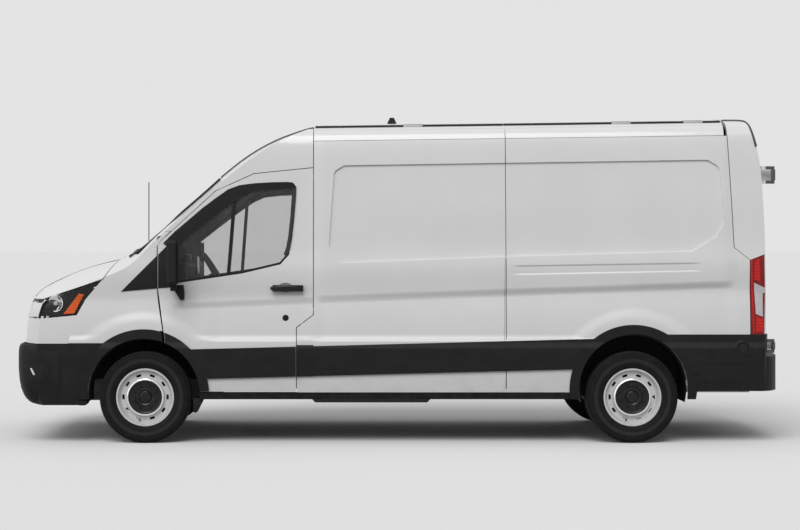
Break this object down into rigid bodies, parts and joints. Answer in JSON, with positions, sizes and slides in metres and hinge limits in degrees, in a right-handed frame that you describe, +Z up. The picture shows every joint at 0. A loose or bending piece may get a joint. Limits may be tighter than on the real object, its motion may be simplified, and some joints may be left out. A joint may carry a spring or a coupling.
{
  "type": "panel van",
  "caption": "Long-wheelbase panel van with a medium roof, hinged front and rear doors, a lifting hood, steered front wheels and freely turning wheels",
  "frame": {"origin": "on the ground, at the middle of the overall length and width", "axes": "+X to the rear doors, +Y to the right-hand side, +Z up"},
  "size_m": [5.975, 2.48, 2.5674],
  "materials": {
    "body_paint": "gloss white paint",
    "black_plastic": "grained black plastic",
    "clear_plastic": "clear lamp lens over dark housing",
    "red_plastic": "red lamp lens",
    "window_glass": "clear glass with a faint green tint",
    "boarding": "brown boarded floor",
    "cast_metal": "cast grey metal",
    "chassis_steel": "black chassis paint",
    "bare_steel": "dull steel",
    "trim_plastic": "dark grey interior plastic",
    "seat_fabric": "dark woven cloth",
    "tyre_rubber": "black rubber",
    "wheel_steel": "silver painted steel"
  },
  "bodies": {
    "root": {"floor_pan": "body_paint", "wheel_housings": "body_paint", "load_floor": "boarding", "chassis_frame": "chassis_steel", "body_side_left": "body_paint", "body_side_right": "body_paint", "sliding_door": "body_paint", "roof_panel": "body_paint", "cab_frame": "body_paint", "fenders": "body_paint", "nose_panel": "body_paint", "grille": "black_plastic", "front_bumper": "black_plastic", "headlamps": "clear_plastic", "rear_frame": "body_paint", "tail_lamps": "red_plastic", "rear_bumper": "black_plastic", "windscreen": "window_glass", "side_cladding": "black_plastic", "wipers": "black_plastic", "aerials": "black_plastic", "engine_block": "cast_metal", "front_suspension": "chassis_steel", "rear_axle": "chassis_steel", "fuel_tank": "black_plastic", "exhaust": "bare_steel", "dashboard": "trim_plastic", "steering_wheel": "trim_plastic", "seats": "seat_fabric", "bulkhead": "body_paint"},
    "hood": {"hood": "body_paint"},
    "door_left": {"door_left_panel": "body_paint", "door_left_glass": "window_glass", "door_left_trim": "black_plastic", "door_left_mirror": "black_plastic"},
    "rear_door_left": {"rear_door_left": "body_paint"},
    "knuckle_left": {"knuckle_left": "chassis_steel"},
    "wheel_front_left": {"tyre_front_left": "tyre_rubber", "rim_front_left": "wheel_steel"},
    "wheel_rear_left": {"tyre_rear_left": "tyre_rubber", "rim_rear_left": "wheel_steel"},
    "door_right": {"door_right_panel": "body_paint", "door_right_glass": "window_glass", "door_right_trim": "black_plastic", "door_right_mirror": "black_plastic"},
    "rear_door_right": {"rear_door_right": "body_paint"},
    "knuckle_right": {"knuckle_right": "chassis_steel"},
    "wheel_front_right": {"tyre_front_right": "tyre_rubber", "rim_front_right": "wheel_steel"},
    "wheel_rear_right": {"tyre_rear_right": "tyre_rubber", "rim_rear_right": "wheel_steel"}
  },
  "joints": [
    {"name": "hood_hinge", "type": "hinge", "parent": "root", "child": "hood", "pos_m": [-2.208, 0, 1.428], "axis": [0, 1, 0], "range_deg": [0, 46]},
    {"name": "door_left_hinge", "type": "hinge", "parent": "root", "child": "door_left", "pos_m": [-1.775, -0.96, 1.2], "axis": [0, 0, -1], "range_deg": [0, 70]},
    {"name": "rear_door_left_hinge", "type": "hinge", "parent": "root", "child": "rear_door_left", "pos_m": [2.88, -0.902, 1.4], "axis": [0, 0, -1], "range_deg": [0, 180]},
    {"name": "steer_left", "type": "hinge", "parent": "root", "child": "knuckle_left", "pos_m": [-1.9675, -0.742, 0.352], "axis": [0, 0, 1], "range_deg": [-35, 35]},
    {"name": "wheel_front_left_spin", "type": "hinge", "parent": "knuckle_left", "child": "wheel_front_left", "pos_m": [-1.9675, -0.868, 0.352], "axis": [0, 1, 0], "continuous": true},
    {"name": "wheel_rear_left_spin", "type": "hinge", "parent": "root", "child": "wheel_rear_left", "pos_m": [1.7825, -0.868, 0.352], "axis": [0, 1, 0], "continuous": true},
    {"name": "door_right_hinge", "type": "hinge", "parent": "root", "child": "door_right", "pos_m": [-1.775, 0.96, 1.2], "axis": [0, 0, 1], "range_deg": [0, 70]},
    {"name": "rear_door_right_hinge", "type": "hinge", "parent": "root", "child": "rear_door_right", "pos_m": [2.88, 0.902, 1.4], "axis": [0, 0, 1], "range_deg": [0, 180]},
    {"name": "steer_right", "type": "hinge", "parent": "root", "child": "knuckle_right", "pos_m": [-1.9675, 0.742, 0.352], "axis": [0, 0, 1], "range_deg": [-35, 35]},
    {"name": "wheel_front_right_spin", "type": "hinge", "parent": "knuckle_right", "child": "wheel_front_right", "pos_m": [-1.9675, 0.868, 0.352], "axis": [0, 1, 0], "continuous": true},
    {"name": "wheel_rear_right_spin", "type": "hinge", "parent": "root", "child": "wheel_rear_right", "pos_m": [1.7825, 0.868, 0.352], "axis": [0, 1, 0], "continuous": true}
  ],
  "couplings": [
    {"joint": "steer_right", "follows": "steer_left", "ratio": 1}
  ]
}
